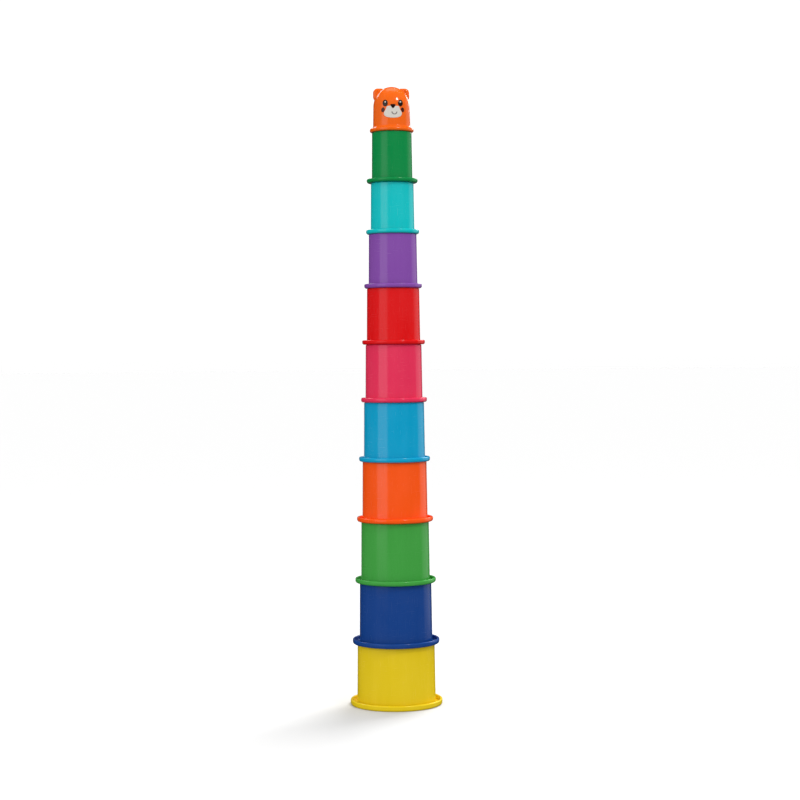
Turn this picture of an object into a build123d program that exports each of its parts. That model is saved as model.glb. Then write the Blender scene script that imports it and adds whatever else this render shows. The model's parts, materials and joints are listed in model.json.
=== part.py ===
from build123d import *
import math
import os

# A tower of loose toy cups. Every cup stands mouth down on the closed end of the next larger
# one, and a small cup with a bear's head is the top. Millimetres, +Z up, and the origin is the
# middle of the largest cup's mouth, on the surface that the tower stands on.

# Driving dimensions
TOWER_HEIGHT = 600.0
WALL = 1.5  # moulded wall, the same in the sides and in the closed end
DRAFT_ANGLE = 0.65  # each side leans in towards the closed end, so that the cup leaves its mould

# Name, outside diameter at the mouth, diameter over the rim, height up to the shoulder and
# height of the rim's bead, from the bottom of the tower to the top
CUPS = [
    ("yellow_cup", 76.5, 89.5, 59.5, 5.4),
    ("dark_blue_cup", 71.0, 84.5, 59.5, 4.8),
    ("green_cup", 67.0, 78.5, 59.5, 4.5),
    ("orange_cup", 63.5, 74.0, 58.5, 4.5),
    ("cyan_cup", 59.5, 69.0, 57.5, 4.4),
    ("pink_cup", 55.5, 64.0, 56.0, 4.4),
    ("red_cup", 52.0, 61.0, 54.5, 4.2),
    ("purple_cup", 47.5, 56.0, 52.5, 4.2),
    ("turquoise_cup", 42.5, 51.5, 49.5, 4.0),
    ("dark_green_cup", 39.5, 49.5, 49.0, 3.8),
]

# The rim is a thin web that turns up into a thick rounded bead, with a gutter between the two
WEB_THICKNESS = 1.3
BEAD_THICKNESS = 2.4
BEAD_ROUND = 1.1
RIM_FOOT_ROUND = 0.8
GUTTER_ROUND = 0.5
LIP_ROUND = 0.5

# The closed end has a raised disc that the next cup's mouth drops over
SHOULDER_ROUND = 1.2
DISC_HEIGHT = 3.0
DISC_TAPER = 0.4
DISC_ROUND = 0.8
DISC_FOOT_ROUND = 0.3
DISC_PLAY = 0.35  # gap all round between a disc and the mouth over it
CEILING_ROUND = 0.6

# Bear's head
HEAD_MOUTH_RADIUS = 18.1
HEAD_RIM_RADIUS = 21.25
HEAD_RIM_THICKNESS = 3.6
HEAD_RIM_ROUND = 0.9
HEAD_FLARE_ROUND = 2.2
HEAD_SPRING = 564.0  # the side is upright to here, then comes in to the dome
DOME_POINTS = [(17.7, 579.0), (15.6, 589.5), (10.05, 596.5)]
EAR_HALF_WIDTH = 6.0
EAR_HALF_HEIGHT = 6.3
EAR_CORNER = 4.4
EAR_OFFSET = 11.6  # from the axis to the middle of an ear
EAR_DROP = 1.0  # the top of an ear lies this far below the top of the dome
EAR_THICKNESS = 5.6
EAR_SET_BACK = 3.2  # the middle of an ear's thickness lies this far behind the axis
EAR_ROUND = 2.4

# Printed face: ink films on the front, drawn in the XZ plane and laid on the head along Y
INK_THICKNESS = 0.2
INK_REACH = 30.0
EYE_HEIGHT = 582.3
EYE_OFFSET = 7.2
EYE_HALF_WIDTH = 2.4
EYE_HALF_HEIGHT = 3.2
GLINT_RADIUS = 0.75
GLINT_RISE = 1.1
NOSE_TOP = 581.8
NOSE_HALF_WIDTH = 3.3
NOSE_DEPTH = 5.0
NOSE_ROUND = 1.25
SMILE_OFFSET = 1.4  # the smile sits a little to the bear's left
SMILE_HEIGHT = 573.4
SMILE_HALF_WIDTH = 2.4
SMILE_DEPTH = 1.9
SMILE_LINE = 0.85
CHEEK_HEIGHT = 576.0
CHEEK_OFFSET = 9.4
CHEEK_HALF_WIDTH = 1.6
CHEEK_HALF_HEIGHT = 2.3
CHEEK_LEAN = 12.0

# Right half of the muzzle from the top down: distance from the middle, height and rounding.
# It is narrow between the eyes, with full cheeks below.
MUZZLE_HALF = [
    (6.3, 580.1, 1.6),
    (7.0, 576.0, 1.2),
    (9.0, 573.8, 1.5),
    (8.7, 570.0, 1.8),
    (5.0, 568.2, 2.4),
]
MUZZLE_CHIN = (0, 567.7, 6.0)

# Worked out
HEAD_BASE = sum(height for _, _, _, height, _ in CUPS)
HEAD_MOUTH_INSIDE = HEAD_MOUTH_RADIUS - WALL
EAR_HEIGHT = TOWER_HEIGHT - EAR_DROP - EAR_HALF_HEIGHT
DRAFT = math.tan(math.radians(DRAFT_ANGLE))


def make_cup(base, mouth_diameter, rim_diameter, height, bead_height, next_mouth_inside):
    """One cup standing mouth down at this height, with a disc that fits inside the next mouth."""
    mouth = mouth_diameter / 2
    rim = rim_diameter / 2
    shoulder = mouth - height * DRAFT
    disc = next_mouth_inside - DISC_PLAY
    gutter = rim - BEAD_THICKNESS
    top = base + height
    ceiling = top - WALL
    with BuildPart() as cup:
        with BuildSketch(Plane.XZ):
            with BuildLine():
                section = FilletPolyline(
                    (0, ceiling + DISC_HEIGHT),
                    (disc - WALL, ceiling + DISC_HEIGHT),
                    (disc - WALL, ceiling),
                    (shoulder - WALL, ceiling),
                    (mouth - WALL, base),
                    (rim, base),
                    (rim, base + bead_height),
                    (gutter, base + bead_height),
                    (gutter, base + WEB_THICKNESS),
                    (mouth - WEB_THICKNESS * DRAFT, base + WEB_THICKNESS),
                    (shoulder, top),
                    (disc, top),
                    (disc - DISC_TAPER, top + DISC_HEIGHT),
                    (0, top + DISC_HEIGHT),
                    radius=[
                        CEILING_ROUND,
                        CEILING_ROUND,
                        CEILING_ROUND,
                        LIP_ROUND,
                        RIM_FOOT_ROUND,
                        BEAD_ROUND,
                        BEAD_ROUND,
                        GUTTER_ROUND,
                        GUTTER_ROUND,
                        SHOULDER_ROUND,
                        DISC_FOOT_ROUND,
                        DISC_ROUND,
                    ],
                )
                Line(section @ 1, section @ 0)
            make_face()
        revolve(axis=Axis.Z)
    return cup


def head_section():
    """Half of the head's filled outline, drawn at the back so that the seam lies there."""
    with BuildSketch(Plane.YZ) as section:
        with BuildLine():
            side = FilletPolyline(
                (0, HEAD_BASE),
                (HEAD_RIM_RADIUS, HEAD_BASE),
                (HEAD_RIM_RADIUS, HEAD_BASE + HEAD_RIM_THICKNESS),
                (HEAD_MOUTH_RADIUS, HEAD_BASE + HEAD_RIM_THICKNESS),
                (HEAD_MOUTH_RADIUS, HEAD_SPRING),
                radius=[HEAD_RIM_ROUND, HEAD_RIM_ROUND, HEAD_FLARE_ROUND],
            )
            dome = Spline(side @ 1, *DOME_POINTS, (0, TOWER_HEIGHT), tangents=[(0, 1), (-1, 0)])
            Line(dome @ 1, side @ 0)
        make_face()
    return section.sketch


def head_hollow():
    """Half of the head's hollow, open at the mouth and one wall in from the outline."""
    inner_points = [(radius - WALL, height - WALL / 2) for radius, height in DOME_POINTS]
    with BuildSketch(Plane.YZ) as hollow:
        with BuildLine():
            side = Polyline(
                (0, HEAD_BASE),
                (HEAD_MOUTH_INSIDE, HEAD_BASE),
                (HEAD_MOUTH_INSIDE, HEAD_SPRING),
            )
            dome = Spline(
                side @ 1, *inner_points, (0, TOWER_HEIGHT - WALL), tangents=[(0, 1), (-1, 0)]
            )
            Line(dome @ 1, side @ 0)
        make_face()
    return hollow.sketch


def make_topper():
    """The bear's head: a small cup with a domed end, a flared rim and two round ears."""
    with BuildPart() as topper:
        with BuildSketch(Plane.XZ.offset(-EAR_SET_BACK - EAR_THICKNESS / 2)):
            with Locations((-EAR_OFFSET, EAR_HEIGHT), (EAR_OFFSET, EAR_HEIGHT)):
                RectangleRounded(2 * EAR_HALF_WIDTH, 2 * EAR_HALF_HEIGHT, EAR_CORNER)
        extrude(amount=EAR_THICKNESS)
        fillet(topper.faces().filter_by(Axis.Y).edges(), EAR_ROUND)
        revolve(head_section(), axis=Axis.Z)
        revolve(head_hollow(), axis=Axis.Z, mode=Mode.SUBTRACT)
    return topper


def glints():
    """The white catchlight in each eye."""
    with BuildSketch() as patch:
        with Locations((-EYE_OFFSET, EYE_HEIGHT + GLINT_RISE), (EYE_OFFSET, EYE_HEIGHT + GLINT_RISE)):
            Circle(GLINT_RADIUS)
    return patch.sketch


def whole_eyes():
    with BuildSketch() as patch:
        with Locations((-EYE_OFFSET, EYE_HEIGHT), (EYE_OFFSET, EYE_HEIGHT)):
            Ellipse(EYE_HALF_WIDTH, EYE_HALF_HEIGHT)
    return patch.sketch


def eyes():
    """The black of the eyes, left bare under the catchlights."""
    with BuildSketch() as patch:
        add(whole_eyes())
        add(glints(), mode=Mode.SUBTRACT)
    return patch.sketch


def nose():
    with BuildSketch() as patch:
        with BuildLine():
            FilletPolyline(
                (-NOSE_HALF_WIDTH, NOSE_TOP),
                (NOSE_HALF_WIDTH, NOSE_TOP),
                (0, NOSE_TOP - NOSE_DEPTH),
                close=True,
                radius=NOSE_ROUND,
            )
        make_face()
    return patch.sketch


def smile():
    with BuildSketch() as patch:
        with BuildLine():
            ThreePointArc(
                (SMILE_OFFSET - SMILE_HALF_WIDTH, SMILE_HEIGHT),
                (SMILE_OFFSET, SMILE_HEIGHT - SMILE_DEPTH),
                (SMILE_OFFSET + SMILE_HALF_WIDTH, SMILE_HEIGHT),
            )
        trace(line_width=SMILE_LINE)
    return patch.sketch


def cheeks():
    """A short brown mark beside each side of the muzzle, below the eye."""
    with BuildSketch() as patch:
        for side in (-1, 1):
            with Locations(Location((side * CHEEK_OFFSET, CHEEK_HEIGHT, 0), (0, 0, side * CHEEK_LEAN))):
                Ellipse(CHEEK_HALF_WIDTH, CHEEK_HALF_HEIGHT)
    return patch.sketch


def muzzle():
    """The white patch, with bare places in it for the darker inks."""
    left_half = [(-across, up, size) for across, up, size in MUZZLE_HALF]
    outline = MUZZLE_HALF + [MUZZLE_CHIN] + left_half[::-1]
    with BuildSketch() as patch:
        with BuildLine():
            FilletPolyline(
                *[(across, up) for across, up, _ in outline],
                close=True,
                radius=[size for _, _, size in outline],
            )
        make_face()
        add(nose(), mode=Mode.SUBTRACT)
        add(smile(), mode=Mode.SUBTRACT)
        add(whole_eyes(), mode=Mode.SUBTRACT)
        add(cheeks(), mode=Mode.SUBTRACT)
    return patch.sketch


def make_ink(outline):
    """A film of ink on the front of the head, where the outline meets it from the front."""
    with BuildPart() as stamp:
        with BuildSketch(Plane.XZ):
            add(outline)
        extrude(amount=INK_REACH)
        revolve(head_section(), axis=Axis.Z, mode=Mode.INTERSECT)
    skins = [solid.faces().sort_by(Axis.Y)[0] for solid in stamp.solids()]
    with BuildPart() as ink:
        thicken(skins, amount=INK_THICKNESS)
    return ink


def save(piece, name):
    piece.part.label = name
    export_step(piece.part, f"parts/{name}.step")
    top = piece.part.bounding_box().max.Z
    print(f"{name}: {piece.part.volume:.0f} mm3, top at {top:.1f} mm")


os.makedirs("parts", exist_ok=True)

base = 0
for number, (name, mouth_diameter, rim_diameter, height, bead_height) in enumerate(CUPS):
    if number + 1 < len(CUPS):
        next_mouth_inside = CUPS[number + 1][1] / 2 - WALL
    else:
        next_mouth_inside = HEAD_MOUTH_INSIDE
    cup = make_cup(base, mouth_diameter, rim_diameter, height, bead_height, next_mouth_inside)
    save(cup, name)
    base += height

topper = make_topper()
save(topper, "bear_topper")

prints = {
    "muzzle_print": muzzle(),
    "nose_print": nose(),
    "smile_print": smile(),
    "eye_prints": eyes(),
    "eye_glints": glints(),
    "cheek_marks": cheeks(),
}
for name, outline in prints.items():
    ink = make_ink(outline)
    save(ink, name)
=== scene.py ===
# %% [markdown]
# # A tower of stacking cups
#
# The toy is eleven loose mouldings: ten plain cups and a small cup with a bear's head. Each one
# stands mouth down on the closed end of the next larger one. The design, with its sizes and its
# joints, is loaded first, and everything below is laid on top of it in metres, in the same frame.

# %% Load the design
import json
import math

import bmesh
import bpy
from mathutils import Matrix, Quaternion, Vector
from mathutils.kdtree import KDTree

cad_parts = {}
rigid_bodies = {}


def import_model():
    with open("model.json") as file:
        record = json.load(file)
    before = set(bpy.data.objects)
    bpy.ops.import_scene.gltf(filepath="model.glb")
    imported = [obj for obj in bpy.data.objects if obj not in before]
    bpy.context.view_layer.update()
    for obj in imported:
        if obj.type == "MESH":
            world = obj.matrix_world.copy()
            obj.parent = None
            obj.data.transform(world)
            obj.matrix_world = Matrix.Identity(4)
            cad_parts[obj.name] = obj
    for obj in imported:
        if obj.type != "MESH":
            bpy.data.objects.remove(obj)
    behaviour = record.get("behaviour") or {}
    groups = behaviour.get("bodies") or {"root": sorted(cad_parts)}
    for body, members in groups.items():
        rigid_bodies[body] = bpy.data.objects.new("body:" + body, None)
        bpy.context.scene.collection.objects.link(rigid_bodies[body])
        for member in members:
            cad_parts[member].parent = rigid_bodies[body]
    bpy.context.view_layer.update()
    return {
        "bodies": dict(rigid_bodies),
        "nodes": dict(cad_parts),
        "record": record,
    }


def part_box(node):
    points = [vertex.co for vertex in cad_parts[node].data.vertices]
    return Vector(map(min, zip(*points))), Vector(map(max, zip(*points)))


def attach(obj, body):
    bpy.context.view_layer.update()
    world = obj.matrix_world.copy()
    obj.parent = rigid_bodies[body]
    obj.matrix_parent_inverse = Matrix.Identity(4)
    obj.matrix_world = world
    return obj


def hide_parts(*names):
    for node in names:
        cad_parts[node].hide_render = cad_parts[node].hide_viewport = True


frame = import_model()
MM = 0.001
CUPS = [name for name in frame["bodies"] if name in frame["nodes"]]
CUPS.sort(key=lambda name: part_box(name)[0].z)
HEAD = "bear_topper"
HEAD_BODY = "bear"

# %% [markdown]
# ## The camera
#
# A product picture is taken from a little above the middle of the tower, with a long lens, so that
# the rims near the lens's height look like straight bars, the lower rims open into ovals seen from
# above and the upper ones show their undersides. The camera is aimed at the middle of the tower
# from a small turn to the bear's right, and rolled by half a degree. A level camera with a shifted
# lens would do the same, but aiming it keeps the lens unshifted, so the other views stay centred.

# %% Camera
LENS = 81.0
VIEW_DISTANCE = 1.752
CAMERA_HEIGHT = 0.335
AIM_HEIGHT = 0.2964
AIM_ASIDE = 0.0058
VIEW_TURN = math.radians(4.7)
VIEW_ROLL = math.radians(-0.49)


def aim_camera():
    """A camera level with the middle cups, turned a little so that the face looks past it."""
    data = bpy.data.cameras.new("camera")
    data.lens = LENS
    camera = bpy.data.objects.new("camera", data)
    bpy.context.scene.collection.objects.link(camera)
    bpy.context.scene.camera = camera
    aside = Vector((math.cos(VIEW_TURN), -math.sin(VIEW_TURN), 0))
    back = Vector((-math.sin(VIEW_TURN), -math.cos(VIEW_TURN), 0))
    target = aside * AIM_ASIDE + Vector((0, 0, AIM_HEIGHT))
    camera.location = aside * AIM_ASIDE + back * VIEW_DISTANCE + Vector((0, 0, CAMERA_HEIGHT))
    camera.rotation_mode = "QUATERNION"
    level = (target - camera.location).to_track_quat("-Z", "Y")
    camera.rotation_quaternion = level @ Quaternion((0, 0, 1), VIEW_ROLL)
    return camera


camera = aim_camera()
print("camera at", [round(along, 3) for along in camera.location])

# %% [markdown]
# ## The floor
#
# The tower stands on a paper sweep that is lit until it is pure white, apart from the shadow. A bent
# sheet would need placing, so this is a plain disc, so wide that its far edge is lost in the white
# behind it. The paper is quite matt. It is hidden from reflections and from bounced light, because
# a white floor below a glossy cup washes the lower part of every colour out.

# %% Floor
FLOOR_RADIUS = 60.0
FLOOR_SIDES = 96
PAPER_TONE = (0.55, 0.55, 0.55, 1)
PAPER_ROUGHNESS = 0.8


def make_floor():
    """A wide level disc of matt paper under the tower."""
    mesh = bpy.data.meshes.new("floor")
    shape = bmesh.new()
    bmesh.ops.create_circle(shape, cap_ends=True, segments=FLOOR_SIDES, radius=FLOOR_RADIUS)
    shape.to_mesh(mesh)
    shape.free()
    floor = bpy.data.objects.new("floor", mesh)
    bpy.context.scene.collection.objects.link(floor)
    paper = bpy.data.materials.new("white_paper_sweep")
    paper.use_nodes = True
    skin = paper.node_tree.nodes["Principled BSDF"]
    skin.inputs["Base Color"].default_value = PAPER_TONE
    skin.inputs["Roughness"].default_value = PAPER_ROUGHNESS
    skin.inputs["Specular IOR Level"].default_value = 0.0
    mesh.materials.append(paper)
    floor.visible_glossy = False
    floor.visible_diffuse = False
    return floor


make_floor()
print("floor", FLOOR_RADIUS * 2, "m across")

# %% [markdown]
# ## The lamps
#
# Gloss is what shows that the cups are moulded plastic, and gloss is only as good as what it
# mirrors. A tall softbox on the left draws the upright band on every cup, a card on the right draws
# the paler band near that edge, and a small lamp high on the right puts the bright spot on the
# bear's forehead. The cards and lamps behind line the dome's edges and the tops of the rims, and
# light the tower's back. One lamp could light it all, but a band and a spot need their own.

# %% Lamps


def softbox(name, turn, height, distance, width, tall, watts, aim=0.3):
    """A lamp turned this many degrees to the right of the camera and aimed at this height."""
    lamp = bpy.data.lights.new(name, "AREA")
    lamp.shape = "RECTANGLE"
    lamp.size = width
    lamp.size_y = tall
    lamp.energy = watts
    holder = bpy.data.objects.new(name, lamp)
    bpy.context.scene.collection.objects.link(holder)
    holder.visible_camera = False
    angle = math.radians(turn) - VIEW_TURN
    place = Vector((math.sin(angle) * distance, -math.cos(angle) * distance, height))
    holder.location = place
    holder.rotation_mode = "QUATERNION"
    holder.rotation_quaternion = (Vector((0, 0, aim)) - place).to_track_quat("-Z", "Y")
    return holder


softbox("left_softbox", turn=-45, height=0.58, distance=1.1, width=0.76, tall=1.1, watts=2.3, aim=0.58)
softbox("right_card", turn=122, height=0.5, distance=1.2, width=0.9, tall=1.2, watts=1.7, aim=0.5)
softbox("back_card", turn=180, height=0.5, distance=2.0, width=2.4, tall=1.6, watts=0.9, aim=0.4)
softbox("forehead_lamp", turn=42, height=1.6, distance=1.35, width=0.24, tall=0.24, watts=8.0, aim=0.45)
softbox("edge_lamp", turn=-150, height=1.45, distance=1.5, width=0.9, tall=0.25, watts=3.0, aim=0.55)
softbox("right_edge_lamp", turn=152, height=1.0, distance=1.45, width=0.3, tall=0.4, watts=2.5, aim=0.59)
softbox("top_card", turn=180, height=2.0, distance=0.5, width=1.0, tall=0.9, watts=2.5, aim=0.45)

# %% [markdown]
# ## The sun and the world
#
# The one soft shadow falls to the front left, so a wide sun stands high behind on the right. It
# isn't mirrored, and it only draws the shadow and lights the tops of the rims. The world is white
# above and dimmer below, so the undersides of the rims stay darker, and it isn't mirrored either,
# because a white room would wash the colours out. Only the camera sees it as pure white, and so
# the sweep has no horizon.

# %% Sun and world


def high_sun(turn, height, strength, spread):
    """A soft sun this many degrees up, turned this many degrees round to the right."""
    lamp = bpy.data.lights.new("high_sun", "SUN")
    lamp.energy = strength
    lamp.angle = math.radians(spread)
    holder = bpy.data.objects.new("high_sun", lamp)
    bpy.context.scene.collection.objects.link(holder)
    angle = math.radians(turn) - VIEW_TURN
    level = math.cos(math.radians(height))
    toward = Vector((math.sin(angle) * level, -math.cos(angle) * level, math.sin(math.radians(height))))
    holder.rotation_mode = "QUATERNION"
    holder.rotation_quaternion = (-toward).to_track_quat("-Z", "Y")
    holder.visible_glossy = False


high_sun(turn=153, height=51, strength=2.85, spread=31)
WORLD_ABOVE = 1.1
WORLD_BELOW = 0.5
FADE_FROM = -0.25
FADE_TO = 0.05


def light_world():
    """Pale light from above and beside, dimmer from below, pure white behind and never mirrored."""
    world = bpy.data.worlds.new("studio")
    bpy.context.scene.world = world
    world.use_nodes = True
    tree = world.node_tree
    place = tree.nodes.new("ShaderNodeTexCoord")
    split = tree.nodes.new("ShaderNodeSeparateXYZ")
    fade = tree.nodes.new("ShaderNodeMapRange")
    fade.inputs["From Min"].default_value = FADE_FROM
    fade.inputs["From Max"].default_value = FADE_TO
    fade.inputs["To Min"].default_value = WORLD_BELOW
    fade.inputs["To Max"].default_value = WORLD_ABOVE
    tree.links.new(place.outputs["Generated"], split.inputs["Vector"])
    tree.links.new(split.outputs["Z"], fade.inputs["Value"])
    sight = tree.nodes.new("ShaderNodeLightPath")
    brighter = tree.nodes.new("ShaderNodeMath")
    brighter.operation = "MAXIMUM"
    tree.links.new(fade.outputs["Result"], brighter.inputs[0])
    tree.links.new(sight.outputs["Is Camera Ray"], brighter.inputs[1])
    tree.links.new(brighter.outputs["Value"], tree.nodes["Background"].inputs["Strength"])
    tree.nodes["Background"].inputs["Color"].default_value = (1, 1, 1, 1)
    world.cycles_visibility.glossy = False


light_world()
bpy.context.scene.view_settings.view_transform = "Standard"
print("world from", WORLD_BELOW, "below to", WORLD_ABOVE, "above")

# %% [markdown]
# ## Moulded plastic
#
# The cups are injection moulded polypropylene, coloured right through. Close up it isn't one flat
# colour: the melt leaves faint streaks along the draw, the mould's polish leaves a fine orange
# peel, and handling leaves hair scratches. The sharp edges are painted paler, partly as rubbing and
# partly as a painted highlight where the rims catch the light. A picture of each effect would do,
# but noise in the node tree has no seams, no files and no end, so one recipe serves every colour.
# The patterns read Object coordinates, in metres, and the gloss and clear top layer are constants
# on the shader itself.

# %% Helpers for node trees


class Recipe:
    """A material's node tree, with a short way to add and join nodes."""

    def __init__(self, name):
        self.material = bpy.data.materials.new(name)
        self.material.use_nodes = True
        self.tree = self.material.node_tree
        self.skin = self.tree.nodes["Principled BSDF"]

    def add(self, kind, **settings):
        """A new node of this kind, with these settings."""
        node = self.tree.nodes.new(kind)
        for key, value in settings.items():
            setattr(node, key, value)
        return node

    def join(self, source, target):
        """Runs a link from an output to an input."""
        self.tree.links.new(source, target)

    def coordinates(self, scale=(1, 1, 1)):
        """Object coordinates, stretched by this scale."""
        place = self.add("ShaderNodeTexCoord")
        stretch = self.add("ShaderNodeMapping")
        stretch.inputs["Scale"].default_value = scale
        self.join(place.outputs["Object"], stretch.inputs["Vector"])
        return stretch.outputs["Vector"]

    def noise(self, size, scale=(1, 1, 1), detail=3.0):
        """Noise with features about this many metres across, from 0 to 1."""
        node = self.add("ShaderNodeTexNoise")
        node.inputs["Scale"].default_value = 1 / size
        node.inputs["Detail"].default_value = detail
        self.join(self.coordinates(scale), node.inputs["Vector"])
        return node.outputs["Fac"]

    def remap(self, source, low, high, to_low, to_high):
        """source from low..high becomes to_low..to_high, held at the ends."""
        node = self.add("ShaderNodeMapRange")
        node.inputs["From Min"].default_value = low
        node.inputs["From Max"].default_value = high
        node.inputs["To Min"].default_value = to_low
        node.inputs["To Max"].default_value = to_high
        self.join(source, node.inputs["Value"])
        return node.outputs["Result"]

    def reckon(self, first, second, operation="ADD"):
        """The sum of two values, or what another operation makes of them."""
        node = self.add("ShaderNodeMath", operation=operation)
        self.join(first, node.inputs[0])
        self.join(second, node.inputs[1])
        return node.outputs["Value"]

    def blend(self, amount, first, second):
        """first where amount is 0 and second where it is 1. A colour is a tuple or a socket."""
        node = self.add("ShaderNodeMix", data_type="RGBA")
        self.join(amount, node.inputs["Factor"])
        for socket, value in ((node.inputs[6], first), (node.inputs[7], second)):
            if isinstance(value, tuple):
                socket.default_value = value
            else:
                self.join(value, socket)
        return node.outputs[2]

    def bumps(self, height, distance, strength, onto=None):
        """A surface that this value seems to raise by up to distance, on top of other bumps."""
        node = self.add("ShaderNodeBump")
        node.inputs["Strength"].default_value = strength
        node.inputs["Distance"].default_value = distance
        self.join(height, node.inputs["Height"])
        if onto is not None:
            self.join(onto, node.inputs["Normal"])
        return node.outputs["Normal"]


def linear(red, green, blue):
    """A colour given as it looks on a screen, from 0 to 255, as the shader wants it."""
    shares = [part / 255 for part in (red, green, blue)]
    parts = [x / 12.92 if x <= 0.04045 else ((x + 0.055) / 1.055) ** 2.4 for x in shares]
    return tuple(parts) + (1,)


def mixed(first, second, share):
    """Part of the way from the first colour to the second."""
    return tuple(a + (b - a) * share for a, b in zip(first, second))


WHITE = (1, 1, 1, 1)
BLACK = (0, 0, 0, 1)
print("recipe helpers ready, middle grey is", round(linear(128, 128, 128)[0], 3))

# %% Plastic
STREAK = 9 * MM
STREAK_PULL = (1, 1, 0.12)
CLOUD = 32 * MM
NOISE_LOW, NOISE_HIGH = 0.3, 0.7
DEEP_SHARE = 0.06
MILKY_SHARE = 0.006
# Sharp edges are painted paler: part rubbing, part a painted highlight where the rims catch the light.
EDGE_WEAR_AND_SHEEN_FROM, EDGE_WEAR_AND_SHEEN_TO = 0.53, 0.60
EDGE_WEAR_AND_SHEEN_MOST = 0.35
EDGE_WEAR_AND_SHEEN_PALER = 0.22
HAIR = 0.5 * MM
UPRIGHT_HAIR = (1, 1, 0.04)
LEVEL_HAIR = (0.05, 0.05, 1.2)
HAIR_ROUGHER = 0.16
PEEL = 1.6 * MM
PEEL_DEPTH = 0.02 * MM
GRAIN = 0.25 * MM
GRAIN_DEPTH = 0.004 * MM
PLASTIC_IOR = 1.49
TOP_LAYER = 0.15
TOP_LAYER_ROUGHNESS = 0.12


def moulded_plastic(name, colour, roughness, shine):
    """Moulded plastic: streaks, orange peel, hair scratches, and paler edges that are part rubbing, part
    painted highlight.
    """
    recipe = Recipe(name)
    deep = mixed(colour, BLACK, DEEP_SHARE)
    milky = mixed(colour, WHITE, MILKY_SHARE)
    streaks = recipe.noise(STREAK, scale=STREAK_PULL, detail=4)
    clouds = recipe.noise(CLOUD, detail=2)
    streaky = recipe.remap(streaks, NOISE_LOW, NOISE_HIGH, 0, 0.6)
    cloudy = recipe.remap(clouds, NOISE_LOW, NOISE_HIGH, 0, 0.4)
    body = recipe.blend(recipe.reckon(streaky, cloudy), deep, milky)
    shape = recipe.add("ShaderNodeNewGeometry")
    # Edges found by Pointiness are painted paler: part rubbing, part a painted highlight on the rims.
    edge_wear_and_sheen = recipe.remap(shape.outputs["Pointiness"], EDGE_WEAR_AND_SHEEN_FROM, EDGE_WEAR_AND_SHEEN_TO, 0, EDGE_WEAR_AND_SHEEN_MOST)
    patchy_wear_and_sheen = recipe.reckon(edge_wear_and_sheen, recipe.remap(clouds, 0.35, 0.6, 0.3, 1), "MULTIPLY")
    worn_and_lit = recipe.blend(patchy_wear_and_sheen, body, mixed(colour, WHITE, EDGE_WEAR_AND_SHEEN_PALER))
    recipe.join(worn_and_lit, recipe.skin.inputs["Base Color"])
    upright = recipe.noise(HAIR, scale=UPRIGHT_HAIR, detail=1)
    level = recipe.noise(HAIR, scale=LEVEL_HAIR, detail=1)
    upright_hairs = recipe.remap(upright, 0.68, 0.74, 0, HAIR_ROUGHER)
    level_hairs = recipe.remap(level, 0.69, 0.75, 0, HAIR_ROUGHER)
    hairs = recipe.reckon(upright_hairs, level_hairs, "MAXIMUM")
    polish = recipe.remap(clouds, NOISE_LOW, NOISE_HIGH, roughness - 0.03, roughness + 0.05)
    recipe.join(recipe.reckon(polish, hairs), recipe.skin.inputs["Roughness"])
    peel = recipe.bumps(recipe.noise(PEEL, detail=1), PEEL_DEPTH, 0.35)
    grain = recipe.bumps(recipe.noise(GRAIN, detail=2), GRAIN_DEPTH, 0.5, onto=peel)
    recipe.join(grain, recipe.skin.inputs["Normal"])
    recipe.skin.inputs["IOR"].default_value = PLASTIC_IOR
    recipe.skin.inputs["Specular IOR Level"].default_value = shine
    recipe.skin.inputs["Coat Weight"].default_value = TOP_LAYER
    recipe.skin.inputs["Coat Roughness"].default_value = TOP_LAYER_ROUGHNESS
    return recipe.material


print("plastic recipe ready")

# %% [markdown]
# ## Eleven colours in two finishes
#
# The mouldings share one recipe, so a colour is one line in a table. Five of the cups have a softer
# shine than the others, as from a mould that was polished less, so there are two finishes. Each is a
# roughness and a strength of reflection.

# %% Colours and finishes
COLOURS = {
    "yellow_cup": (226, 196, 22),
    "dark_blue_cup": (16, 63, 135),
    "green_cup": (63, 157, 64),
    "orange_cup": (248, 84, 8),
    "cyan_cup": (0, 156, 199),
    "pink_cup": (226, 47, 86),
    "red_cup": (219, 10, 14),
    "purple_cup": (130, 75, 164),
    "turquoise_cup": (0, 188, 191),
    "dark_green_cup": (0, 134, 66),
    HEAD: (235, 98, 8),
}
SOFT = {"yellow_cup", "dark_blue_cup", "green_cup", "red_cup", "dark_green_cup"}
SOFT_FINISH = (0.2, 0.28)
GLOSSY_FINISH = (0.15, 0.5)
plastics = {}
for name, colour in COLOURS.items():
    finish = SOFT_FINISH if name in SOFT else GLOSSY_FINISH
    plastics[name] = moulded_plastic(name + "_plastic", linear(*colour), *finish)
print(len(plastics), "plastics,", len(SOFT), "of them soft")

# %% [markdown]
# ## Turning a cup
#
# A cup is round all over, so the whole of it is one outline turned about the axis, as on a lathe.
# The outline's corners are drawn sharp and then rounded by a bevel, which is quicker to change than
# an arc worked out by hand. The sizes that matter are read off the design: the rim from its box,
# and the wall by cutting its node with a level plane. Long straight stretches get an extra point
# just before each round, or the smooth shading would bend the light along the whole wall.

# %% Measuring the design


def reach(node, height):
    """The largest distance from the axis at which a level plane cuts a part of the design."""
    shape = bmesh.new()
    shape.from_mesh(frame["nodes"][node].data)
    everything = shape.verts[:] + shape.edges[:] + shape.faces[:]
    cut = bmesh.ops.bisect_plane(
        shape, geom=everything, plane_co=(0, 0, height), plane_no=(0, 0, 1)
    )["geom_cut"]
    widest = max(part.co.xy.length for part in cut if isinstance(part, bmesh.types.BMVert))
    shape.free()
    return widest


print("largest cup's wall at 20 mm:", round(reach(CUPS[0], 20 * MM) / MM, 2), "mm")

# %% Outline tools
TURN_STEPS = 160
ROUND_STEPS = 6
HOLD = 0.35 * MM
LONG = 2.2 * MM
SAME_PLACE = 0.001 * MM


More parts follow.
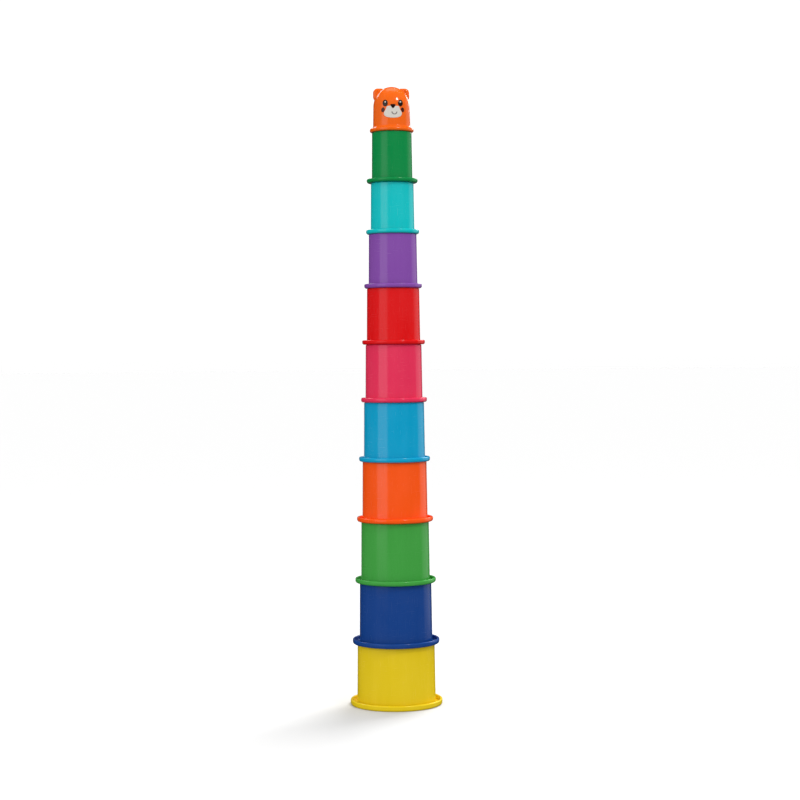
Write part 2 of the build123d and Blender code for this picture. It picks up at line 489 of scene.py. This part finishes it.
def draw_outline(corners, closed=False, steps=ROUND_STEPS):
    """A wire through corners, each a distance from the axis, a height and how far to round it."""
    shape = bmesh.new()
    points = [shape.verts.new((across, 0, up)) for across, up, _ in corners]
    for first, second in zip(points, points[1:]):
        shape.edges.new((first, second))
    if closed:
        shape.edges.new((points[-1], points[0]))
    rounds = sorted({size for _, _, size in corners if size > 0})
    for size in rounds:
        chosen = [point for point, corner in zip(points, corners) if corner[2] == size]
        bmesh.ops.bevel(
            shape,
            geom=chosen,
            offset=size,
            offset_type="OFFSET",
            segments=steps,
            profile=0.5,
            affect="VERTICES",
            material=-1,
        )
    return shape


def hold_ends(shape):
    """Adds a point close to both ends of every long stretch."""
    for edge in [stretch for stretch in shape.edges if stretch.calc_length() > LONG]:
        first, second = edge.verts
        _, near_first = bmesh.utils.edge_split(edge, first, HOLD / edge.calc_length())
        rest = shape.edges.get((near_first, second))
        bmesh.utils.edge_split(rest, second, HOLD / rest.calc_length())


def turn(shape, steps=TURN_STEPS):
    """Turns a wire once round the axis, closes the poles and faces it outwards."""
    bmesh.ops.spin(
        shape,
        geom=shape.verts[:] + shape.edges[:],
        cent=(0, 0, 0),
        axis=(0, 0, 1),
        dvec=(0, 0, 0),
        angle=2 * math.pi,
        steps=steps,
        use_merge=True,
        use_duplicate=False,
    )
    bmesh.ops.remove_doubles(shape, verts=shape.verts[:], dist=SAME_PLACE)
    bmesh.ops.recalc_face_normals(shape, faces=shape.faces[:])


def finish_piece(name, shape, material, body, node):
    """Makes the object, gives it its material, and puts it on its body in place of its node."""
    mesh = bpy.data.meshes.new(name)
    shape.to_mesh(mesh)
    shape.free()
    mesh.shade_smooth()
    mesh.materials.append(material)
    piece = bpy.data.objects.new(name, mesh)
    bpy.context.scene.collection.objects.link(piece)
    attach(piece, body)
    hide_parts(node)
    return piece


print("outline tools ready")

# %% [markdown]
# ## The ten cups
#
# The rim of a cup is a thin web that runs out from the mouth and turns up into a thick round bead,
# with a gutter between the bead and the wall. The bead stiffens the mouth and is kind to a small
# hand, and the gutter is what shows as a dark line round the lower cups. The closed end carries a
# raised disc that the next mouth drops over, with the small mark left where the plastic was let in.
# Wall and rim could be two pieces, but a cup is one moulding, so it is one outline.

# %% Cups
WALL = 1.5 * MM
WEB = 1.3 * MM
BEAD_THICKNESS = 2.4 * MM
BEAD_ROUND = 1.15 * MM
RIM_FOOT_ROUND = 1.9 * MM
GUTTER_ROUND = 0.5 * MM
LIP_ROUND = 0.5 * MM
SHOULDER_ROUND = 1.2 * MM
DISC_FOOT_ROUND = 0.3 * MM
DISC_ROUND = 0.8 * MM
DISC_TAPER = 0.4 * MM
CEILING_ROUND = 0.6 * MM
GATE_WELL = 3.2 * MM
GATE_DEPTH = 0.4 * MM
GATE_NUB = 0.9 * MM
GATE_NUB_HEIGHT = 0.25 * MM
GATE_SLOPE = 0.4 * MM
GATE_NUB_ROUND = 0.1 * MM
GATE_WELL_ROUND = 0.2 * MM
ABOVE_MOUTH = 8 * MM
BELOW_SHOULDER = 4 * MM


def bead_top(node, rim):
    """The height of the top of the bead that runs round the mouth."""
    points = frame["nodes"][node].data.vertices
    return max(point.co.z for point in points if point.co.xy.length > rim - BEAD_THICKNESS)


def measure_wall(node, base, shoulder):
    """How far out the wall is at the mouth and at the shoulder, and how much it leans."""
    near_mouth, near_shoulder = base + ABOVE_MOUTH, shoulder - BELOW_SHOULDER
    wide, narrow = reach(node, near_mouth), reach(node, near_shoulder)
    lean = (wide - narrow) / (near_shoulder - near_mouth)
    mouth = wide + lean * (near_mouth - base)
    top = narrow - lean * (shoulder - near_shoulder)
    return mouth, top, lean


def make_cup(name, shoulder):
    """One cup, from its gate mark over the closed end, down the wall, round the rim and inside."""
    low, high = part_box(name)
    base, crown, rim = low.z, high.z, high.x
    bead = bead_top(name, rim)
    mouth, top, lean = measure_wall(name, base, shoulder)
    disc = reach(name, (shoulder + crown) / 2) + DISC_TAPER / 2
    gutter = rim - BEAD_THICKNESS
    well = crown - GATE_DEPTH
    outline = draw_outline(
        [
            (0, well + GATE_NUB_HEIGHT, 0),
            (GATE_NUB, well + GATE_NUB_HEIGHT, GATE_NUB_ROUND),
            (GATE_NUB + GATE_SLOPE / 4, well, GATE_NUB_ROUND),
            (GATE_WELL, well, GATE_WELL_ROUND),
            (GATE_WELL + GATE_SLOPE, crown, GATE_WELL_ROUND),
            (disc - DISC_TAPER, crown, DISC_ROUND),
            (disc, shoulder, DISC_FOOT_ROUND),
            (top, shoulder, SHOULDER_ROUND),
            (mouth - lean * WEB, base + WEB, GUTTER_ROUND),
            (gutter, base + WEB, GUTTER_ROUND),
            (gutter, bead, BEAD_ROUND),
            (rim, bead, BEAD_ROUND),
            (rim, base, RIM_FOOT_ROUND),
            (mouth - WALL, base, LIP_ROUND),
            (top - WALL, shoulder - WALL, CEILING_ROUND),
            (disc - WALL, shoulder - WALL, CEILING_ROUND),
            (disc - WALL, crown - WALL, CEILING_ROUND),
            (0, crown - WALL, 0),
        ]
    )
    hold_ends(outline)
    turn(outline)
    piece_name = name.replace("_cup", "_turned_cup")
    cup = finish_piece(piece_name, outline, plastics[name], name, name)
    print(cup.name, "mouth", round(mouth * 2 / MM, 1), "mm,", len(cup.data.polygons), "faces")
    return cup


SLOTS = {part["node"]: part["material_slot"] for part in frame["record"]["subparts"]}
shoulders = [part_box(above)[0].z for above in CUPS[1:]] + [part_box(HEAD)[0].z]
for name, shoulder in zip(CUPS, shoulders):
    make_cup(name, shoulder)

# %% [markdown]
# ## The bear's head
#
# The top piece is a small cup whose closed end is an egg-shaped dome. Its outline is turned like a
# cup's, but the dome is a curve all the way, so it is swung as an arc and then stretched upwards.
# Bevelled corners would do for the dome too, but an arc has no flat stretch to catch the light.

# %% Head shell
HEAD_WIDE = 17.7 * MM
HEAD_DOME = 19.8 * MM
HEAD_MOUTH = 18.1 * MM
HEAD_RIM_THICKNESS = 3.6 * MM
HEAD_RIM_ROUND = 1.5 * MM
HEAD_FLARE = 2.2 * MM
DOME_STEPS = 28

head_low, head_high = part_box(HEAD)
DOME_CENTRE = head_high.z - HEAD_DOME


def swing_dome(shape, start, tall):
    """Draws a quarter of an ellipse from this point up to the axis."""
    wide, level = start.co.x, start.co.z
    before = set(shape.verts)
    bmesh.ops.spin(
        shape,
        geom=[start],
        cent=(0, 0, level),
        axis=(0, 1, 0),
        dvec=(0, 0, 0),
        angle=-math.pi / 2,
        steps=DOME_STEPS,
        use_merge=False,
        use_duplicate=False,
    )
    arc = [point for point in shape.verts if point not in before]
    middle = Matrix.Translation((0, 0, -level))
    bmesh.ops.scale(shape, vec=(1, 1, tall / wide), verts=arc, space=middle)


def draw_head():
    """The head's outline: side, flare and rim, a plain inside one wall in, and a dome over each."""
    rim = reach(HEAD, head_low.z + HEAD_RIM_THICKNESS / 2)
    rim_top = head_low.z + HEAD_RIM_THICKNESS
    shape = draw_outline(
        [
            (HEAD_WIDE, DOME_CENTRE, 0),
            (HEAD_MOUTH, rim_top, HEAD_FLARE),
            (rim, rim_top, HEAD_RIM_ROUND),
            (rim, head_low.z, HEAD_RIM_ROUND),
            (HEAD_MOUTH - WALL, head_low.z, LIP_ROUND),
            (HEAD_WIDE - WALL, DOME_CENTRE, 0),
        ]
    )
    ends = [point for point in shape.verts if len(point.link_edges) == 1]
    inner, outer = sorted(ends, key=lambda point: point.co.x)
    hold_ends(shape)
    swing_dome(shape, outer, HEAD_DOME)
    swing_dome(shape, inner, HEAD_DOME - WALL)
    return shape


def as_object(name, shape):
    """A plain object with this shape, to be worked on."""
    mesh = bpy.data.meshes.new(name)
    shape.to_mesh(mesh)
    shape.free()
    piece = bpy.data.objects.new(name, mesh)
    bpy.context.scene.collection.objects.link(piece)
    return piece


def settle(piece):
    """Applies the piece's modifiers for good."""
    view = bpy.context.evaluated_depsgraph_get()
    mesh = bpy.data.meshes.new_from_object(piece.evaluated_get(view))
    old = piece.data
    piece.modifiers.clear()
    piece.data = mesh
    bpy.data.meshes.remove(old)


def combine(piece, tool, operation):
    """Joins or cuts the piece with a closed tool, which is then thrown away."""
    join = piece.modifiers.new("combine", "BOOLEAN")
    join.operation = operation
    join.solver = "EXACT"
    join.object = tool
    settle(piece)
    bpy.data.objects.remove(tool)


head_outline = draw_head()
turn(head_outline)
head_work = as_object("head_work", head_outline)
print("head shell faces:", len(head_work.data.polygons))

# %% [markdown]
# ## The ears
#
# The ears are thick rounded blocks with a faintly dished face, moulded in one with the dome, a
# little behind its middle. Each is an outline pushed out into a block, softened along both its edges
# and cut off inside the wall, so that nothing shows in the hollow. A boolean joins them to the dome.
# The crease it leaves is relaxed, since a mould has a small radius there.

# %% Ears
EAR_HALF_WIDTH = 6.0 * MM
EAR_HALF_HEIGHT = 6.3 * MM
EAR_CORNER = 4.4 * MM
EAR_OFFSET = 11.6 * MM
EAR_DROP = 1.0 * MM
EAR_THICKNESS = 5.6 * MM
EAR_SET_BACK = 3.2 * MM
EAR_ROUND = 2.3 * MM
EAR_CORNER_STEPS = 14
EAR_ROUND_STEPS = 8
EAR_DISH = 0.3 * MM
DISH_STEPS = (0.4 * MM, 0.6 * MM, 0.5 * MM)
PATCH_STEPS = 8


def rounded(corners, sizes, steps=PATCH_STEPS):
    """A filled outline in the XZ plane, its corners rounded by these sizes."""
    patch = draw_outline([(x, z, size) for (x, z), size in zip(corners, sizes)], True, steps)
    bmesh.ops.contextual_create(patch, geom=patch.edges[:])
    return patch


def make_ear(side):
    """A thick rounded block with soft edges and a faintly dished face."""
    across, up = EAR_HALF_WIDTH, EAR_HALF_HEIGHT
    corners = [(-across, -up), (across, -up), (across, up), (-across, up)]
    shape = rounded(corners, [EAR_CORNER] * 4, EAR_CORNER_STEPS)
    front = shape.faces[:]
    block = bmesh.ops.extrude_face_region(shape, geom=front, use_keep_orig=True)["geom"]
    back = [part for part in block if isinstance(part, bmesh.types.BMVert)]
    bmesh.ops.translate(shape, vec=(0, EAR_THICKNESS, 0), verts=back)
    bmesh.ops.recalc_face_normals(shape, faces=shape.faces[:])
    caps = [face for face in shape.faces if len(face.verts) > 4]
    edges = [edge for edge in shape.edges if any(face in caps for face in edge.link_faces)]
    bmesh.ops.bevel(
        shape,
        geom=edges,
        offset=EAR_ROUND,
        offset_type="OFFSET",
        segments=EAR_ROUND_STEPS,
        profile=0.5,
        affect="EDGES",
        material=-1,
    )
    caps = [face for face in shape.faces if len(face.verts) > 4]
    for step in DISH_STEPS:
        bmesh.ops.inset_region(shape, faces=caps, thickness=step, depth=-EAR_DISH / len(DISH_STEPS))
    place = Vector((side * EAR_OFFSET, EAR_SET_BACK - EAR_THICKNESS / 2, head_high.z - EAR_DROP - up))
    bmesh.ops.translate(shape, vec=place, verts=shape.verts)
    return as_object("ear_work", shape)


def make_core():
    """An egg that ends half way through the dome's wall, to cut the ears off with."""
    core = bmesh.new()
    bmesh.ops.create_uvsphere(core, u_segments=96, v_segments=48, radius=1)
    middle = WALL / 2
    stretch = (HEAD_WIDE - middle, HEAD_WIDE - middle, HEAD_DOME - middle)
    bmesh.ops.scale(core, vec=stretch, verts=core.verts)
    bmesh.ops.translate(core, vec=(0, 0, DOME_CENTRE), verts=core.verts)
    return as_object("core_work", core)


for side in (-1, 1):
    ear = make_ear(side)
    combine(ear, make_core(), "DIFFERENCE")
    combine(head_work, ear, "UNION")
print("head and ears joined:", len(head_work.data.polygons), "faces")

# %% Creases
CREASE_ANGLE = math.radians(30)
CREASE_REACH = 0.9 * MM
CREASE_PASSES = 10
EAR_ROOTS = DOME_CENTRE + 4 * MM
SLIVER = 0.004 * MM


def relax_creases(shape, lowest):
    """Softens the sharp crease where something was joined on, above this height."""
    creases = [
        edge
        for edge in shape.edges
        if edge.is_manifold
        and min(point.co.z for point in edge.verts) > lowest
        and edge.calc_face_angle() > CREASE_ANGLE
    ]
    tree = KDTree(len(creases))
    for number, edge in enumerate(creases):
        tree.insert((edge.verts[0].co + edge.verts[1].co) / 2, number)
    tree.balance()
    raised = [point for point in shape.verts if point.co.z > lowest]
    near = [point for point in raised if tree.find(point.co)[2] < CREASE_REACH]
    for _ in range(CREASE_PASSES):
        bmesh.ops.smooth_vert(
            shape, verts=near, factor=0.5, use_axis_x=True, use_axis_y=True, use_axis_z=True
        )


head_shape = bmesh.new()
head_shape.from_mesh(head_work.data)
bpy.data.objects.remove(head_work)
bmesh.ops.remove_doubles(head_shape, verts=head_shape.verts[:], dist=SLIVER)
relax_creases(head_shape, EAR_ROOTS)
bmesh.ops.recalc_face_normals(head_shape, faces=head_shape.faces[:])
head = finish_piece("bear_head", head_shape, plastics[HEAD], HEAD_BODY, HEAD)
print("head with ears:", len(head.data.polygons), "faces")

# %% [markdown]
# ## The printed face
#
# The face is pad printed: a soft pad presses the ink straight onto the curved front, white first and
# the dark colours over it. Here each patch is a flat outline in front of the head, cut into small
# squares so that it can bend, pushed back onto the head along the pad's direction, and given the
# thickness of a film of ink. A picture wrapped round the head would blur close up, and these edges
# stay sharp.

# %% Ink
INK_CLOUD = 1.4 * MM
INK_SPECK = 0.22 * MM
SPECK_DEPTH = 0.004 * MM
SHOWS_THROUGH = 0.05
PLASTIC_UNDER_INK = linear(*COLOURS[HEAD])


def printed_ink(name, colour, gloss):
    """Opaque ink, a little uneven where the pad left less of it."""
    recipe = Recipe(name)
    thin = recipe.noise(INK_CLOUD, detail=3)
    specks = recipe.noise(INK_SPECK, detail=1)
    thinner = recipe.remap(thin, 0.35, 0.7, 0, 0.7)
    specked = recipe.remap(specks, 0.6, 0.75, 0, 0.3)
    bare = mixed(colour, PLASTIC_UNDER_INK, SHOWS_THROUGH)
    tinted = recipe.blend(recipe.reckon(thinner, specked), colour, bare)
    recipe.join(tinted, recipe.skin.inputs["Base Color"])
    dull = recipe.remap(thin, NOISE_LOW, NOISE_HIGH, gloss - 0.04, gloss + 0.06)
    recipe.join(dull, recipe.skin.inputs["Roughness"])
    recipe.join(recipe.bumps(specks, SPECK_DEPTH, 0.5), recipe.skin.inputs["Normal"])
    recipe.skin.inputs["Coat Weight"].default_value = 0.2
    recipe.skin.inputs["Coat Roughness"].default_value = 0.15
    return recipe.material


inks = {
    "white_ink": printed_ink("white_ink", linear(204, 200, 193), 0.35),
    "black_ink": printed_ink("black_ink", linear(22, 12, 10), 0.28),
    "grey_ink": printed_ink("grey_ink", linear(110, 104, 104), 0.35),
    "brown_ink": printed_ink("brown_ink", linear(66, 18, 6), 0.33),
}
print("inks:", list(inks))

# %% Pressing the ink on
INK_GRID = 0.6 * MM
PAD_DISTANCE = 40 * MM
OVAL_SIDES = 48


def cut_grid(patch):
    """Cuts a flat patch in the XZ plane into small squares, so that it can bend."""
    across = [point.co.x for point in patch.verts]
    up = [point.co.z for point in patch.verts]
    for values, direction in ((across, Vector((1, 0, 0))), (up, Vector((0, 0, 1)))):
        line = min(values) + INK_GRID
        while line < max(values):
            everything = patch.verts[:] + patch.edges[:] + patch.faces[:]
            bmesh.ops.bisect_plane(patch, geom=everything, plane_co=direction * line, plane_no=direction)
            line += INK_GRID
    bmesh.ops.triangulate(patch, faces=[face for face in patch.faces if len(face.verts) > 4])


def lay_ink(name, patch, thickness, node):
    """Presses a flat patch, drawn in the XZ plane, onto the head from the front."""
    cut_grid(patch)
    patch.normal_update()
    bmesh.ops.reverse_faces(patch, faces=[face for face in patch.faces if face.normal.y > 0])
    bmesh.ops.translate(patch, vec=(0, -PAD_DISTANCE, 0), verts=patch.verts)
    film = as_object(name + "_work", patch)
    press = film.modifiers.new("press", "SHRINKWRAP")
    press.wrap_method = "PROJECT"
    press.target = head
    press.use_project_y = True
    press.use_positive_direction = True
    press.use_negative_direction = False
    body = film.modifiers.new("body", "SOLIDIFY")
    body.thickness = thickness
    body.offset = 1
    settle(film)
    shape = bmesh.new()
    shape.from_mesh(film.data)
    bpy.data.objects.remove(film)
    slot = SLOTS[node]
    piece = finish_piece(name, shape, inks[slot], HEAD_BODY, node)
    front = min(point.co.y for point in piece.data.vertices)
    print(name, len(piece.data.polygons), "faces, front at", round(front / MM, 2), "mm")


def oval(patch, across, up, half_width, half_height, lean=0.0):
    """Adds a filled oval to a patch."""
    made = bmesh.ops.create_circle(patch, cap_ends=True, segments=OVAL_SIDES, radius=1)["verts"]
    bmesh.ops.scale(patch, vec=(half_width, half_height, 1), verts=made)
    leaning = Matrix.Rotation(lean, 3, "Z")
    upright = Matrix.Rotation(math.pi / 2, 3, "X")
    bmesh.ops.rotate(patch, cent=(0, 0, 0), matrix=leaning, verts=made)
    bmesh.ops.rotate(patch, cent=(0, 0, 0), matrix=upright, verts=made)
    bmesh.ops.translate(patch, vec=(across, 0, up), verts=made)


print("ink tools ready")

# %% [markdown]
# ## Muzzle, eyes and cheeks
#
# The ink goes on in three coats: first the white of the muzzle and the brown of the cheeks, then the
# black and the grey, and last the white spots in the eyes. A later coat is thicker here, so that it
# shows in front of the one below. The muzzle is half an outline and its mirror image, narrow under
# the nose and wide at the jowls. Its points are in millimetres, across and above the floor.

# %% Muzzle
FIRST_COAT = 0.10 * MM
SECOND_COAT = 0.15 * MM
THIRD_COAT = 0.20 * MM
MUZZLE_HALF = [(6.0, 579.5), (6.9, 575.8), (8.8, 573.6), (8.5, 570.2), (5.0, 568.5)]
MUZZLE_ROUNDS = [1.6, 1.2, 1.5, 1.8, 1.6]
MUZZLE_CHIN = (0, 567.9)

left_half = [(-across, up) for across, up in MUZZLE_HALF]
muzzle_corners = MUZZLE_HALF + [MUZZLE_CHIN] + left_half[::-1]
muzzle_rounds = MUZZLE_ROUNDS + [MUZZLE_ROUNDS[-1]] + MUZZLE_ROUNDS[::-1]
muzzle = rounded(
    [(across * MM, up * MM) for across, up in muzzle_corners], [size * MM for size in muzzle_rounds]
)
lay_ink("muzzle_film", muzzle, FIRST_COAT, "muzzle_print")

# %% Eyes and cheeks
EYE_OFFSET = 7.3 * MM
EYE_HEIGHT = 582.3 * MM
EYE_SIZE = (2.4 * MM, 3.2 * MM)
GLINT_RISE = 1.1 * MM
GLINT_SIZE = (0.75 * MM, 0.75 * MM)
CHEEK_OFFSET = 9.4 * MM
CHEEK_HEIGHT = 576.0 * MM
CHEEK_SIZE = (1.6 * MM, 2.3 * MM)
CHEEK_LEAN = math.radians(12)

cheeks = bmesh.new()
eyes = bmesh.new()
glints = bmesh.new()
for side in (-1, 1):
    oval(cheeks, side * CHEEK_OFFSET, CHEEK_HEIGHT, *CHEEK_SIZE, lean=side * CHEEK_LEAN)
    oval(eyes, side * EYE_OFFSET, EYE_HEIGHT, *EYE_SIZE)
    oval(glints, side * EYE_OFFSET, EYE_HEIGHT + GLINT_RISE, *GLINT_SIZE)
lay_ink("cheek_films", cheeks, FIRST_COAT, "cheek_marks")
lay_ink("eye_films", eyes, SECOND_COAT, "eye_prints")
lay_ink("glint_films", glints, THIRD_COAT, "eye_glints")

# %% [markdown]
# ## Nose and smile
#
# The nose is a triangle with soft corners, so it is three points, rounded. The smile is one short
# stroke under it, a little to the side. A bevelled curve would give it round ends, but a stroke
# swung half a turn is simpler, and at its size the ends don't show.

# %% Nose and smile
NOSE_TOP = 581.2 * MM
NOSE_HALF_WIDTH = 3.3 * MM
NOSE_DEPTH = 5.0 * MM
NOSE_ROUND = 1.9 * MM
SMILE_OFFSET = 1.4 * MM
SMILE_HEIGHT = 574.0 * MM
SMILE_RADIUS = 2.4 * MM
SMILE_LINE = 0.85 * MM
SMILE_STEPS = 24

nose_corners = [(-NOSE_HALF_WIDTH, NOSE_TOP), (0, NOSE_TOP - NOSE_DEPTH), (NOSE_HALF_WIDTH, NOSE_TOP)]
nose = rounded(nose_corners, [NOSE_ROUND] * 3)
lay_ink("nose_film", nose, SECOND_COAT, "nose_print")


def draw_smile():
    """A short stroke swung half a turn round, under the nose."""
    patch = bmesh.new()
    left = SMILE_OFFSET - SMILE_RADIUS
    inner = patch.verts.new((left + SMILE_LINE / 2, 0, SMILE_HEIGHT))
    outer = patch.verts.new((left - SMILE_LINE / 2, 0, SMILE_HEIGHT))
    stroke = patch.edges.new((inner, outer))
    bmesh.ops.spin(
        patch,
        geom=[inner, outer, stroke],
        cent=(SMILE_OFFSET, 0, SMILE_HEIGHT),
        axis=(0, 1, 0),
        dvec=(0, 0, 0),
        angle=-math.pi,
        steps=SMILE_STEPS,
        use_merge=False,
        use_duplicate=False,
    )
    return patch


lay_ink("smile_film", draw_smile(), SECOND_COAT, "smile_print")
